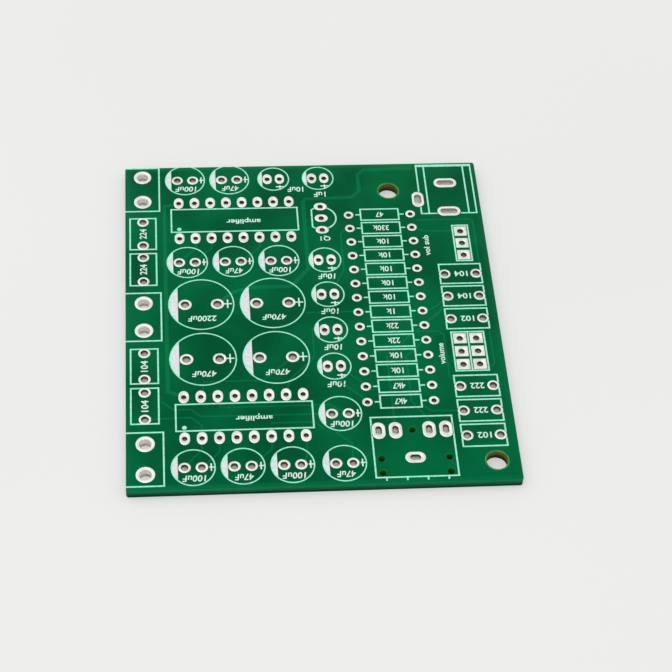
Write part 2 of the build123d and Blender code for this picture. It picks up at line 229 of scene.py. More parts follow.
def copies_at(template, places):
    """Copies of a piece, each with its own mesh, moved to their places."""
    copies = []
    for place in places:
        copy = template.copy()
        copy.data = template.data.copy()
        copy.data.transform(Matrix.Translation(place))
        bpy.context.collection.objects.link(copy)
        copies.append(copy)
    bpy.data.objects.remove(template)
    return copies


def join(pieces, name):
    """Several pieces made one."""
    deselect()
    for piece in pieces:
        piece.select_set(True)
    bpy.context.view_layer.objects.active = pieces[0]
    bpy.ops.object.join()
    joined = bpy.context.object
    joined.name = name
    joined.data.name = name
    return joined


def apply_modifier(piece, kind, **settings):
    """Add a modifier to a piece and apply it."""
    take(piece)
    modifier = piece.modifiers.new(kind.lower(), kind)
    for setting, value in settings.items():
        setattr(modifier, setting, value)
    bpy.ops.object.modifier_apply(modifier=modifier.name)
    return piece


def cut_away(piece, cutter):
    """Take one piece's space out of another."""
    apply_modifier(piece, "BOOLEAN", object=cutter, operation="DIFFERENCE", solver="EXACT")
    bpy.data.objects.remove(cutter)
    return piece


def thicken(piece, thickness):
    """A flat shape made a closed sheet, upwards from where it lies."""
    return apply_modifier(piece, "SOLIDIFY", thickness=thickness, offset=1.0)


def smooth(piece, angle):
    """Smooth shading over edges flatter than an angle."""
    take(piece)
    bpy.ops.object.shade_smooth_by_angle(angle=angle)
    return piece


def finish_piece(piece, finish, slot, *nodes):
    """Give a piece its finish, hang it from the root, and hide the solids that it replaces; its slot, which
    would say what it stands for, is not used.
    """
    if not piece.data.materials:
        piece.data.materials.append(finish)
    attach(piece, "root")
    if nodes:
        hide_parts(*nodes)


# Places, read from the solids

class Solid:
    """One solid of a node: its middle, its size and the size of the hole through it."""

    def __init__(self, corners):
        low = Vector([min(values) for values in zip(*corners)])
        high = Vector([max(values) for values in zip(*corners)])
        self.middle = (low + high) / 2
        self.size = high - low
        half = self.size / 2
        inner = [
            corner - self.middle
            for corner in corners
            if abs(corner.x - self.middle.x) < rim_share * half.x
            and abs(corner.y - self.middle.y) < rim_share * half.y
        ]
        self.hole_x = 2 * max((abs(corner.x) for corner in inner), default=0)
        self.hole_y = 2 * max((abs(corner.y) for corner in inner), default=0)


def solids_of(node):
    """The separate solids of a node, from the rear of the board to the front."""
    mesh = frame["nodes"][node].data
    spots = [tuple(round(value, 7) for value in vertex.co) for vertex in mesh.vertices]
    group = {spot: spot for spot in spots}

    def root(spot):
        while group[spot] != spot:
            spot = group[spot]
        return spot

    for polygon in mesh.polygons:
        first, *others = [root(spots[index]) for index in polygon.vertices]
        for other in others:
            group[root(other)] = root(first)
    members = {}
    for spot in group:
        members.setdefault(root(spot), []).append(Vector(spot))
    solids = [Solid(corners) for corners in members.values()]
    return sorted(solids, key=lambda solid: (-round(solid.middle.y, 5), solid.middle.x))


def like_sizes(solids):
    """Solids of one outline and hole, together."""
    groups = {}
    for solid in solids:
        size = (solid.size.x, solid.size.y, solid.hole_x, solid.hole_y)
        groups.setdefault(tuple(round(value, 6) for value in size), []).append(solid)
    return list(groups.values())


def pairs_of(node):
    """The middles of two-lead components, rear to front and left to right, from their pads."""
    pads = [solid.middle for solid in solids_of(node)]
    pairs = [(pads[index] + pads[index + 1]) / 2 for index in range(0, len(pads), 2)]
    return [Vector((pair.x, pair.y, board_top)) for pair in pairs]


def middle_of(node):
    """The middle of a node's box."""
    low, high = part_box(node)
    return (low + high) / 2


def on_plan(place):
    """A place's distances across and away alone."""
    return Vector((place.x, place.y, 0))


# Shader nodes

class Wire:
    """A shader socket that takes part in sums, each of which adds a Math node."""

    def __init__(self, tree, socket):
        self.tree = tree
        self.socket = socket

    def maths(self, operation, first, second):
        return add_node(self.tree, "ShaderNodeMath", {"operation": operation}, {0: first, 1: second})

    def __add__(self, other):
        return self.maths("ADD", self, other)

    def __radd__(self, other):
        return self.maths("ADD", other, self)

    def __sub__(self, other):
        return self.maths("SUBTRACT", self, other)

    def __rsub__(self, other):
        return self.maths("SUBTRACT", other, self)

    def __mul__(self, other):
        return self.maths("MULTIPLY", self, other)

    def __rmul__(self, other):
        return self.maths("MULTIPLY", other, self)

    def __abs__(self):
        return self.maths("ABSOLUTE", self, 0)


def add_node(tree, kind, settings=None, values=None, output=0):
    """Any node: its settings, then the values or wires of its sockets. Gives one output's wire."""
    node = tree.nodes.new(kind)
    for setting, value in (settings or {}).items():
        setattr(node, setting, value)
    for name, value in (values or {}).items():
        if isinstance(value, Wire):
            tree.links.new(value.socket, node.inputs[name])
        else:
            node.inputs[name].default_value = value
    return Wire(tree, node.outputs[output])


class Finish:
    """A material under way: its node tree, its shader and the object's own coordinates."""

    def __init__(self, name, **constants):
        self.material = bpy.data.materials.new(name)
        self.material.use_nodes = True
        self.tree = self.material.node_tree
        self.shader = self.tree.nodes["Principled BSDF"]
        for socket, value in constants.items():
            self.shader.inputs[socket.replace("_", " ")].default_value = value
        self.place = add_node(self.tree, "ShaderNodeTexCoord", output="Object")

    def noise(self, scale, detail, stretch=(1, 1, 1)):
        """Cloudy values about a half."""
        place = add_node(
            self.tree, "ShaderNodeMapping", None, {"Vector": self.place, "Scale": stretch}
        )
        values = {"Vector": place, "Scale": scale, "Detail": detail}
        return add_node(self.tree, "ShaderNodeTexNoise", None, values)

    def along(self, axis):
        """One of the object's coordinates."""
        return add_node(self.tree, "ShaderNodeSeparateXYZ", None, {0: self.place}, axis)

    def ramp(self, value, low, high):
        """0 to 1 as a value goes from low to high, smoothly."""
        values = {"Value": value, "From Min": low, "From Max": high}
        return add_node(
            self.tree, "ShaderNodeMapRange", {"interpolation_type": "SMOOTHSTEP"}, values
        )

    def blend(self, factor, first, second):
        """From one colour to another, by a factor: a Mix node's colours are its sockets 6 and 7."""
        values = {0: factor, 6: first, 7: second}
        return add_node(self.tree, "ShaderNodeMix", {"data_type": "RGBA"}, values, 2)

    def wear(self, **wires):
        """What varies over the surface."""
        for socket, wire in wires.items():
            self.tree.links.new(wire.socket, self.shader.inputs[socket.replace("_", " ")])

    def bump(self, height, strength, distance):
        """Small unevenness."""
        values = {"Height": height, "Strength": strength, "Distance": distance}
        self.wear(Normal=add_node(self.tree, "ShaderNodeBump", None, values))


def colour(red, green, blue):
    """A screen colour, 0 to 255, in the linear values that shaders take."""
    linear = []
    for value in (red, green, blue):
        share = value / 255
        linear.append(share / 12.92 if share <= 0.04045 else ((share + 0.055) / 1.055) ** 2.4)
    return (*linear, 1)


# Finishes

def solder_mask(name, deep, pale, edge):
    """Green mask with cloudy depth, paler along the board's edges, and a fine orange peel."""
    finish = Finish(name, Specular_IOR_Level=0.06, Specular_Tint=colour(40, 190, 130))
    cloud = finish.ramp(finish.noise(scale=90, detail=3), low=0.3, high=0.7)
    green = finish.blend(cloud, deep, pale)
    side = finish.ramp(abs(finish.along("X")), board_half_x - paling_start, board_half_x - paling_end)
    end = finish.ramp(abs(finish.along("Y")), board_half_y - paling_start, board_half_y - paling_end)
    rim = side * side_share + end - side * end * side_share
    finish.wear(Base_Color=finish.blend(rim * end_paleness, green, edge))
    peel = finish.noise(scale=2600, detail=2)
    finish.wear(Roughness=0.3 + peel * 0.16)
    finish.bump(peel, strength=0.12, distance=fine_grain)
    return finish.material


def cut_edge(name, dark, light):
    """The routed edge of the laminate: green glass cloth in layers, with painted light and shade that make
    it lighter at its top and darker towards its bottom.
    """
    finish = Finish(name, Specular_IOR_Level=0.03)
    layers = finish.noise(scale=700, detail=4, stretch=(0.25, 0.25, 6))
    # Painted light and shade: the edge is coloured lighter towards its top and darker towards its bottom.
    height = finish.ramp(finish.along("Z"), board_bottom, board_top)
    painted_light_and_layers = height * 0.9 + (layers - 0.5) * 0.5
    finish.wear(Base_Color=finish.blend(painted_light_and_layers, dark, light))
    finish.wear(Roughness=0.55 + layers * 0.25)
    finish.bump(layers, strength=0.35, distance=cloth_grain)
    return finish.material


def drilled_cloth(name, painted_foot_shade, dark, light):
    """Bare glass cloth and resin in a hole that isn't plated, with painted shade that darkens it towards its
    bottom.
    """
    finish = Finish(name, Specular_IOR_Level=0.1)
    fibres = finish.noise(scale=900, detail=4, stretch=(1, 1, 4))
    cloth = finish.blend(finish.ramp(fibres, low=0.35, high=0.65), dark, light)
    # Painted shade: the lowest part of the wall is coloured darker, standing in for the shadow where it
    # meets the floor.
    height = finish.ramp(finish.along("Z"), board_bottom, board_top - mouth_depth)
    finish.wear(Base_Color=finish.blend(height, painted_foot_shade, cloth))
    finish.wear(Roughness=0.6 + fibres * 0.3)
    finish.bump(fibres, strength=0.4, distance=cloth_grain)
    return finish.material


def bright_tin(name, dull, bright):
    """Tin levelled by hot air: bright, with faint pools."""
    finish = Finish(name, Metallic=0.5)
    pools = finish.noise(scale=800, detail=3)
    finish.wear(Base_Color=finish.blend(finish.ramp(pools, low=0.3, high=0.7), dull, bright))
    finish.wear(Roughness=0.26 + pools * 0.2)
    finish.bump(pools, strength=0.25, distance=plated_grain)
    return finish.material


def hole_bore(name, mouth_light_and_shade, dark, light, shallow=mouth_depth, deep=painted_band_depth):
    """Plating down a hole, with a painted band of light and shade near its top that fades into the plating
    colour deeper down.
    """
    finish = Finish(name, Metallic=0.7)
    stain = finish.noise(scale=1500, detail=3, stretch=(1, 1, 0.4))
    plated = finish.blend(finish.ramp(stain, low=0.3, high=0.7), dark, light)
    # Painted light and shade: the top of the bore takes another colour than the plating below.
    near = finish.ramp(finish.along("Z"), board_top - deep, board_top - shallow)
    finish.wear(Base_Color=finish.blend(near, plated, mouth_light_and_shade))
    finish.wear(Roughness=0.25 + stain * 0.25)
    finish.bump(stain, strength=0.3, distance=plated_grain)
    return finish.material


def screen_ink(name, thin, full):
    """White ink through a screen, a little uneven."""
    finish = Finish(name, Specular_IOR_Level=0.15)
    grain = finish.noise(scale=1800, detail=3)
    finish.wear(Base_Color=finish.blend(finish.ramp(grain, low=0.3, high=0.65), thin, full))
    finish.wear(Roughness=0.55 + grain * 0.25)
    finish.bump(grain, strength=0.2, distance=fine_grain)
    return finish.material


def pale_floor(name, shade, light):
    """A plain pale sheet, seen as one even tone that the object's shadow only lightly darkens."""
    finish = Finish(name, Specular_IOR_Level=0.1)
    cloud = finish.noise(scale=6, detail=2)
    pale = finish.blend(finish.ramp(cloud, low=0.2, high=0.8), shade, light)
    finish.wear(Base_Color=pale)
    finish.wear(Roughness=0.75 + cloud * 0.1)
    camera_ray, glossy_ray, transmission_ray = (
        add_node(finish.tree, "ShaderNodeLightPath", output=kind)
        for kind in ("Is Camera Ray", "Is Glossy Ray", "Is Transmission Ray")
    )
    evenness = (camera_ray + glossy_ray + transmission_ray) * floor_evenness
    shine = add_node(finish.tree, "ShaderNodeEmission", None, {"Color": pale, "Strength": 1.0})
    lit = Wire(finish.tree, finish.shader.outputs["BSDF"])
    sheet = add_node(finish.tree, "ShaderNodeMixShader", None, {0: evenness, 1: lit, 2: shine})
    finish.tree.links.new(sheet.socket, finish.tree.nodes["Material Output"].inputs["Surface"])
    return finish.material


mask = solder_mask("solder_mask", colour(0, 80, 46), colour(1, 102, 59), colour(4, 116, 68))
covered_copper = solder_mask("covered_copper", colour(4, 102, 60), colour(8, 117, 70), colour(10, 122, 74))
# The edge's first colour is painted shade at its bottom, and its second is painted light at its top.
edge_laminate = cut_edge("edge_laminate", colour(3, 44, 22), colour(30, 124, 82))
# The first colour of each bare laminate is painted shade towards the bottom of its hole.
bare_laminate = drilled_cloth("bare_laminate", colour(44, 40, 8), colour(84, 88, 30), colour(128, 130, 60))
peg_laminate = drilled_cloth("peg_laminate", colour(2, 90, 26), colour(3, 104, 32), colour(12, 134, 50))
screw_rim = drilled_cloth("rim_laminate", colour(48, 96, 50), colour(48, 126, 66), colour(82, 144, 82))
peg_rim = drilled_cloth("peg_rim", colour(8, 70, 36), colour(10, 88, 44), colour(40, 106, 52))
tin = bright_tin("bright_tin", colour(222, 225, 214), colour(244, 246, 237))
# The bores are lit and shaded copies of one plating, painted darker in narrow holes and paler in wide ones
# to match how much light gets in. In narrower holes each first colour is painted shade round the rim, over a
# paler painted-light colour deeper down. In the wide holes it is painted light at the top, over painted
# shade deeper down.
dark_bore = hole_bore("dark_bore", colour(84, 78, 70), colour(160, 156, 148), colour(196, 194, 186))
grey_bore = hole_bore("grey_bore", colour(100, 94, 86), colour(224, 222, 215), colour(246, 244, 238))
pale_bore = hole_bore("pale_bore", colour(196, 187, 180), colour(230, 224, 218), colour(248, 243, 238))
wide_bore = hole_bore(
    "wide_bore",
    colour(250, 246, 242),
    colour(176, 166, 158),
    colour(204, 194, 187),
    wide_mouth_depth,
    wide_painted_band_depth,
)
line_ink = screen_ink("line_ink", colour(138, 226, 194), colour(171, 243, 217))
letter_ink = screen_ink("letter_ink", colour(190, 232, 214), colour(226, 246, 237))
solid_ink = screen_ink("solid_ink", colour(206, 216, 214), colour(226, 232, 231))


# Round and oblong shapes

def pull_apart(piece, reach, wanted=everything):
    """Draw the two halves of a round outline apart along Y, so that it becomes an oblong."""
    for side in (1, -1):
        pick(piece, "VERT", lambda vertex: vertex.co.y * side > 0 and wanted(vertex))
        bpy.ops.transform.translate(value=(0, side * reach, 0))
        bpy.ops.object.mode_set(mode="OBJECT")


def turn_quarter(piece):
    """Turn a piece a quarter about its upright axis."""
    piece.data.transform(Matrix.Rotation(math.pi / 2, 4, "Z"))
    return piece


def oblong(size_x, size_y, steps):
    """A flat round or oblong face about the origin."""
    deselect()
    bpy.ops.mesh.primitive_circle_add(
        vertices=steps,
        radius=min(size_x, size_y) / 2,
        fill_type="NGON",
        rotation=(0, 0, math.pi / steps),
    )
    face = settle(bpy.context.object)
    pull_apart(face, abs(size_x - size_y) / 2)
    return turn_quarter(face) if size_x > size_y else face


def drill_bit(size_x, size_y, steps):
    """A round or oblong prism that passes right through the board."""
    low, high = board_bottom - drill_overrun, board_top + drill_overrun
    deselect()
    bpy.ops.mesh.primitive_cylinder_add(
        vertices=steps,
        radius=min(size_x, size_y) / 2,
        depth=high - low,
        location=(0, 0, (low + high) / 2),
        rotation=(0, 0, math.pi / steps),
    )
    bit = settle(bpy.context.object)
    pull_apart(bit, abs(size_x - size_y) / 2)
    return turn_quarter(bit) if size_x > size_y else bit


def open_ring(piece, width):
    """Leave only the border of a flat piece."""
    pick(piece, "FACE")
    bpy.ops.mesh.inset(thickness=width)
    bpy.ops.mesh.delete(type="FACE")
    bpy.ops.object.mode_set(mode="OBJECT")


def trimmed(piece, plane, normal):
    """Cut a flat piece off along a straight line."""
    pick(piece, "FACE")
    bpy.ops.mesh.bisect(plane_co=plane, plane_no=normal, clear_outer=True, threshold=cut_tolerance)
    bpy.ops.object.mode_set(mode="OBJECT")
    return piece


# Lands and holes, each with the finishes of its bore and of its lip, whose colours are painted light and
# shade

pad_nodes = [node for node in frame["nodes"] if "_pads" in node]

# Painted shade: a dark_bore lip paints a shaded ring round the rim of a hole; a wide_bore lip is painted
# light at the top of the hole.
wide_hole = (wide_bore, wide_bore)
pale_hole = (pale_bore, dark_bore)
grey_hole = (grey_bore, dark_bore)
dark_hole = (dark_bore, tin)
hole_light_and_shade = {
    "terminal": wide_hole,
    "large": grey_hole,
    "audio": grey_hole,
    "film": grey_hole,
    "medium": grey_hole,
    "power": pale_hole,
}
bore_slot = 1
lip_slot = 2


def land_steps(solid):
    """How many sides a land's outline gets."""
    return large_land_steps if min(solid.size.x, solid.size.y) > large_land else small_land_steps


def land_section(land, hole, low, high):
    """Half the section of a plated hole: a domed land on each face and a thin wall between."""
    rim = land / 2
    bore = hole / 2
    upper = [
        (bore + plating, board_top),
        (rim, board_top),
        (rim, board_top + land_shoulder / 3),
        (rim - land_round / 3, high - land_shoulder / 6),
        (rim - land_round, high),
        (bore + lip_round, high),
        (bore, board_top - lip_round / 2),
    ]
    middle = (low + high) / 2
    lower = [(radius, 2 * middle - height) for radius, height in reversed(upper)]
    return upper + lower


def spun(section, steps):
    """A half section turned about the upright axis."""
    deselect()
    bpy.ops.mesh.primitive_circle_add(vertices=len(section))
    pad = bpy.context.object
    for vertex, (radius, height) in zip(pad.data.vertices, section):
        vertex.co = (radius, 0, height)
    pad.data.transform(Matrix.Rotation(math.pi / steps, 4, "Z"))
    pick(pad, "VERT")
    bpy.ops.mesh.spin(steps=steps, angle=2 * math.pi, center=(0, 0, 0), axis=(0, 0, 1))
    bpy.ops.mesh.select_all(action="SELECT")
    bpy.ops.mesh.remove_doubles(threshold=merge_distance)
    bpy.ops.mesh.normals_make_consistent(inside=False)
    bpy.ops.object.mode_set(mode="OBJECT")
    return pad


def plated_hole(node, solid, low, high):
    """One tinned land-and-hole, spun from its section, then drawn out to its outline."""
    land = min(solid.size.x, solid.size.y)
    hole = min(solid.hole_x, solid.hole_y)
    stretch = abs(solid.size.x - solid.size.y) / 2
    slot_stretch = abs(solid.hole_x - solid.hole_y) / 2
    pad = spun(land_section(land, hole, low, high), land_steps(solid))
    between = (land + hole) / 4
    outer = [vertex.co.xy.length > between for vertex in pad.data.vertices]
    if "header" in node:
        for vertex in pad.data.vertices:
            if outer[vertex.index]:
                vertex.co.xy *= vertex.co.xy.length / max(abs(vertex.co.x), abs(vertex.co.y))
    if "jack" not in node:
        pick(pad, "VERT", lambda vertex: outer[vertex.index])
        bpy.ops.transform.resize(value=(1, 1 + stretch / land, 1), center_override=(0, 0, 0))
        bpy.ops.object.mode_set(mode="OBJECT")
        stretch /= 2
    pull_apart(pad, stretch, lambda vertex: outer[vertex.index])
    pull_apart(pad, slot_stretch, lambda vertex: not outer[vertex.index])
    return turn_quarter(pad) if solid.size.x > solid.size.y + size_tolerance else pad


def plate_faces(pad, bore, lip):
    """Give a plated hole its tin, and its bore and its lip their own finishes, which carry painted light and
    shade.
    """
    for finish in (tin, bore, lip):
        pad.data.materials.append(finish)
    for polygon in pad.data.polygons:
        heights = [pad.data.vertices[index].co.z for index in polygon.vertices]
        within = min(heights) > board_bottom - plating / 2 and max(heights) < board_top + plating / 2
        if within and abs(polygon.normal.z) < steep_normal:
            polygon.material_index = bore_slot
        for face in (board_bottom, board_top):
            if min(heights) < face - lip_round / 4 and max(heights) > face + lip_round / 4:
                polygon.material_index = lip_slot
    return pad


drills = []
for node in pad_nodes:
    low, high = (corner.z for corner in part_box(node))
    bore, lip = hole_light_and_shade.get(node.split("_")[0], dark_hole)
    pieces = []
    for group in like_sizes(solids_of(node)):
        first = group[0]
        places = [on_plan(solid.middle) for solid in group]
        pieces += copies_at(plate_faces(plated_hole(node, first, low, high), bore, lip), places)
        bit = drill_bit(first.hole_x + 2 * plating, first.hole_y + 2 * plating, land_steps(first))
        drills += copies_at(bit, places)
    tinned = join(pieces, "tinned_" + node)
    smooth(tinned, land_smoothing)
    finish_piece(tinned, tin, "tinned_pads", node)


# The laminate

def find_plain_holes():
    """The holes that aren't plated: two for screws and five for the audio jack's pegs."""
    mounts = [mount for mount in frame["record"]["mounts"] if mount["kind"] == "bore"]
    screws = [(Vector(mount["pos_m"]), 2 * mount["dims"]["r_mm"] * MM) for mount in mounts]
    row = [solid.middle for solid in solids_of("audio_jack_pads")][:jack_row_contacts]
    pegs = [((row[0] + row[-1]) / 2, peg_hole)]
    for contact in (row[0], row[-1]):
        for offset in peg_offsets:
            pegs.append((contact - Vector((0, offset, 0)), peg_hole))
    return screws + pegs


plain_holes = find_plain_holes()
for middle, diameter in plain_holes:
    drills += copies_at(drill_bit(diameter, diameter, plain_hole_steps), [on_plan(middle)])


def rise(mesh, edge):
    """How far an edge climbs."""
    first, second = (mesh.vertices[index].co for index in edge.vertices)
    return abs(first.z - second.z)


def drilled_board():
    """A plate with round corners and broken edges, drilled for every hole."""
    deselect()
    bpy.ops.mesh.primitive_cube_add(
        size=1, location=(board_low + board_high) / 2, scale=board_high - board_low
    )
    plate = settle(bpy.context.object)
    pick(plate, "EDGE", lambda edge: rise(plate.data, edge) > board_top / 2)
    bpy.ops.mesh.bevel(offset=corner_radius, segments=corner_steps)
    pick(plate, "EDGE", lambda edge: rise(plate.data, edge) < edge_break / 2)
    bpy.ops.mesh.bevel(offset=edge_break, segments=edge_steps)
    bpy.ops.object.mode_set(mode="OBJECT")
    return cut_away(plate, join(drills, "drills"))


def wall_finish(place):
    """The finish of an upright face of the laminate: in a peg's hole, in another hole or outside."""
    for middle, diameter in plain_holes:
        if diameter == peg_hole and on_plan(place - middle).length < diameter:
            return peg_laminate
    border = corner_radius + edge_break
    if abs(place.x) < board_half_x - border and abs(place.y) < board_half_y - border:
        return bare_laminate
    return edge_laminate


laminate = drilled_board()
laminate.name = "drilled_laminate"
smooth(laminate, laminate_smoothing)
laminate_finishes = [mask, edge_laminate, bare_laminate, peg_laminate]
for finish in laminate_finishes:
    laminate.data.materials.append(finish)
for polygon in laminate.data.polygons:
    if abs(polygon.normal.z) < level_normal:
        polygon.material_index = laminate_finishes.index(wall_finish(polygon.center))
finish_piece(laminate, mask, "solder_mask", "board")


def hole_rims():
    """Rings of laminate round the plain holes, where the mask stops short."""
    rims = []
    for middle, diameter in plain_holes:
        width, finish = (screw_rim_width, screw_rim)
        if diameter == peg_hole:
            width, finish = (peg_rim_width, peg_rim)
        outside = diameter + 2 * width
        rim = oblong(outside, outside, plain_hole_steps)
        open_ring(rim, width)
        rim.data.transform(Matrix.Translation((middle.x, middle.y, board_top)))
        rim.data.materials.append(finish)
        rims.append(rim)
    return rims


finish_piece(thicken(join(hole_rims(), "hole_rims"), rim_rise), screw_rim, "solder_mask")


# The printed frames and rings

for node, piece in frame["nodes"].items():
    if node.endswith(("_outlines", "_outline")):
        piece.data.materials.clear()
        piece.data.materials.append(line_ink)


def capacitor_ring(middle, diameter, chord):
    """A ring about an electrolytic capacitor, filled on its negative side as far as a chord."""
    ring = oblong(diameter, diameter, ring_steps)
    pick(ring, "FACE")
    bpy.ops.mesh.inset(thickness=ring_stroke)
    bpy.ops.mesh.bisect(plane_co=(-chord, 0, 0), plane_no=(1, 0, 0), threshold=cut_tolerance)
    inside = diameter / 2 - 1.5 * ring_stroke
    pick(ring, "FACE", lambda face: face.center.x > -chord and face.center.xy.length < inside)
    bpy.ops.mesh.delete(type="FACE")
    bpy.ops.object.mode_set(mode="OBJECT")
    ring.data.materials.append(line_ink)
    ring.data.materials.append(solid_ink)
    for polygon in ring.data.polygons:
        polygon.material_index = 1 if polygon.center.xy.length < inside else 0
    ring.data.transform(Matrix.Translation(middle))
    return trimmed(ring, (0, board_half_y, 0), (0, 1, 0))


def ring_pieces():
    """Rings of all the electrolytic capacitors."""
    outlines = solids_of("capacitor_outlines")
    pieces = []
    for node in ("small_capacitor_pads", "medium_capacitor_pads", "large_capacitor_pads"):
        first, second = solids_of(node)[:2]
        pitch = abs(second.middle.x - first.middle.x)
        chord = (pitch + first.size.x) / 2 + ink_gap
        for middle in pairs_of(node):
            nearest = min(outlines, key=lambda solid: on_plan(solid.middle - middle).length)
            pieces.append(capacitor_ring(middle, nearest.size.x, chord))
    return pieces


rings = thicken(join(ring_pieces(), "capacitor_rings"), ink_rise)
finish_piece(rings, line_ink, "legend_ink", "capacitor_outlines")


def transistor_case():
    """The half-round outline of the transistor, broken where it meets the lands."""
    lands = solids_of("transistor_pads")
    outline = solids_of("transistor_outline")
    left = min(solid.middle.x - solid.size.x / 2 for solid in outline)
    right = max(solid.middle.x + solid.size.x / 2 for solid in outline)
    middle = on_plan(lands[1].middle)
    radius = right - middle.x
    case = oblong(2 * radius, 2 * radius, ring_steps)
    trimmed(case, (left - middle.x, 0, 0), (-1, 0, 0))
    open_ring(case, line_stroke)
    case.data.transform(Matrix.Translation((middle.x, middle.y, board_top)))
    thicken(case, ink_rise)
    land_size = lands[0].size
    opening = drill_bit(land_size.x + 2 * ink_gap, land_size.y + 2 * ink_gap, small_land_steps)
    openings = copies_at(opening, [on_plan(land.middle) for land in lands])
    return cut_away(case, join(openings, "openings"))


case = transistor_case()
case.name = "transistor_case"
finish_piece(case, line_ink, "legend_ink", "transistor_outline")


# Printed signs

def stroke(start, end, width):
    """A flat line of ink between two points."""
    start, end = Vector(start), Vector(end)
    run = end - start
    deselect()
    bpy.ops.mesh.primitive_plane_add(
        size=1,
        location=((start.x + end.x) / 2, (start.y + end.y) / 2, board_top),
        rotation=(0, 0, math.atan2(run.y, run.x)),
    )
    line = bpy.context.object
    line.scale = (run.length, width, 1)
    return settle(line)


def plus_sign(middle, left, right, low, high):
    """A plus whose arms run from its middle by four reaches, with no arm over another."""
    x, y = middle
    half = sign_stroke / 2
    return [
        stroke((x, y + low), (x, y + high), sign_stroke),
        stroke((x + left, y), (x - half, y), sign_stroke),
        stroke((x + half, y), (x + right, y), sign_stroke),
    ]


def capacitor_signs():
    """A plus at the positive lead of each electrolytic capacitor."""
    signs = []
    for pair in pairs_of("large_capacitor_pads"):
        place = (pair.x + large_plus, pair.y)
        signs += plus_sign(place, -plus_arm, plus_arm, -large_plus_arm, large_plus_arm)
    for pair in pairs_of("medium_capacitor_pads"):
        place = (pair.x + medium_plus, pair.y)
        signs += plus_sign(place, -plus_gap, medium_plus_end, -plus_arm, plus_arm)
    for pair in pairs_of("small_capacitor_pads"):
        place = (pair.x + small_plus, pair.y - small_plus_near)
        signs += plus_sign(place, -plus_arm, plus_arm, -plus_arm, plus_gap)
    return signs


def resistor_leads():
    """Short lines from each resistor's frame to its lands."""
    lines = []
    lands = solids_of("resistor_pads")
    for index, outline in enumerate(solids_of("resistor_outlines")):
        left, right = lands[2 * index], lands[2 * index + 1]
        y = left.middle.y
        reach = left.size.x / 2 + lead_gap
        half = outline.size.x / 2
        lines.append(stroke((left.middle.x + reach, y), (outline.middle.x - half, y), lead_stroke))
        lines.append(stroke((outline.middle.x + half, y), (right.middle.x - reach, y), lead_stroke))
    return lines


def first_pin_dots():
    """A dot at the first pin of each amplifier circuit."""
    dots = []
    for node in ("amplifier_pads_rear", "amplifier_pads_front"):
        middle = middle_of(node)
        dot = oblong(dot_diameter, dot_diameter, large_land_steps)
        dot.data.transform(Matrix.Translation((middle.x - dot_left, middle.y - dot_near, board_top)))
        dots.append(dot)
    return dots


for name, signs, ink in (
    ("polarity_signs", capacitor_signs(), letter_ink),
    ("resistor_leads", resistor_leads(), line_ink),
    ("first_pin_dots", first_pin_dots(), line_ink),
):
    finish_piece(thicken(join(signs, name), letter_rise), ink, "legend_ink")


# Printed values, most of them read from the rear edge, and names

def word(text, middle, length, height, turn, slant=0):
    """A printed word about a point, turned, and fitted to its length, height and rise."""
    deselect()
    bpy.ops.object.text_add()
    letters = bpy.context.object
    letters.data.body = text
    letters.data.resolution_u = letter_curve_steps
    letters.data.extrude = 0.5
    letters.data.offset = letter_weight
    letters.data.shear = slant
    take(letters)
    bpy.ops.object.convert(target="MESH")
    printed = bpy.context.object
    corners = [vertex.co for vertex in printed.data.vertices]
    low = Vector([min(values) for values in zip(*corners)])
    high = Vector([max(values) for values in zip(*corners)])
    size = high - low
    centre = Matrix.Translation(-(low + high) / 2)
    fit = Matrix.Diagonal((length / size.x, height / size.y, letter_rise / size.z, 1))
    place = Matrix.Translation((middle[0], middle[1], board_top + letter_rise / 2))
    printed.data.transform(place @ Matrix.Rotation(turn, 4, "Z") @ fit @ centre)
    return printed


def values_at(texts, places, shift, advance, turn=facing_rear, slant=0):
    """Values in order, each shifted alike from its component's middle."""
    words = []
    for text, place in zip(texts, places):
        middle = (place.x + shift[0], place.y + shift[1])
        words.append(word(text, middle, advance * len(text), letter_height, turn, slant))
    return words


def slanted_values(texts, places, shift, advance):
    """Values in sloping letters."""
    return values_at(texts, places, shift, advance, slant=letter_slant)


def name_at(text, node, shift, size, turn):
    """A component's name, shifted from the middle of its lands."""
    middle = middle_of(node)
    length, height = size
    return word(text, (middle.x + shift[0], middle.y + shift[1]), length, height, turn)


def print_words(words, name):
    """Words joined into one printed piece."""
    finish_piece(join(words, name), letter_ink, "legend_ink")


resistor_values = ["47", "330k"] + ["10k"] * 5 + ["1k", "22k", "22k", "10k", "10k", "4k7", "4k7"]
medium_values = ["100uF", "47uF", "100uF", "47uF", "100uF", "100uF", "100uF", "47uF", "100uF", "47uF"]
large_values = ["2200uF", "470uF", "470uF", "470uF"]
small_values = ["10uF"] * 4
left_film_values = ["224", "224", "104", "104"]
right_film_values = ["104", "104", "102", "222", "222", "102"]
rear_left, rear_right, *small_column = pairs_of("small_capacitor_pads")

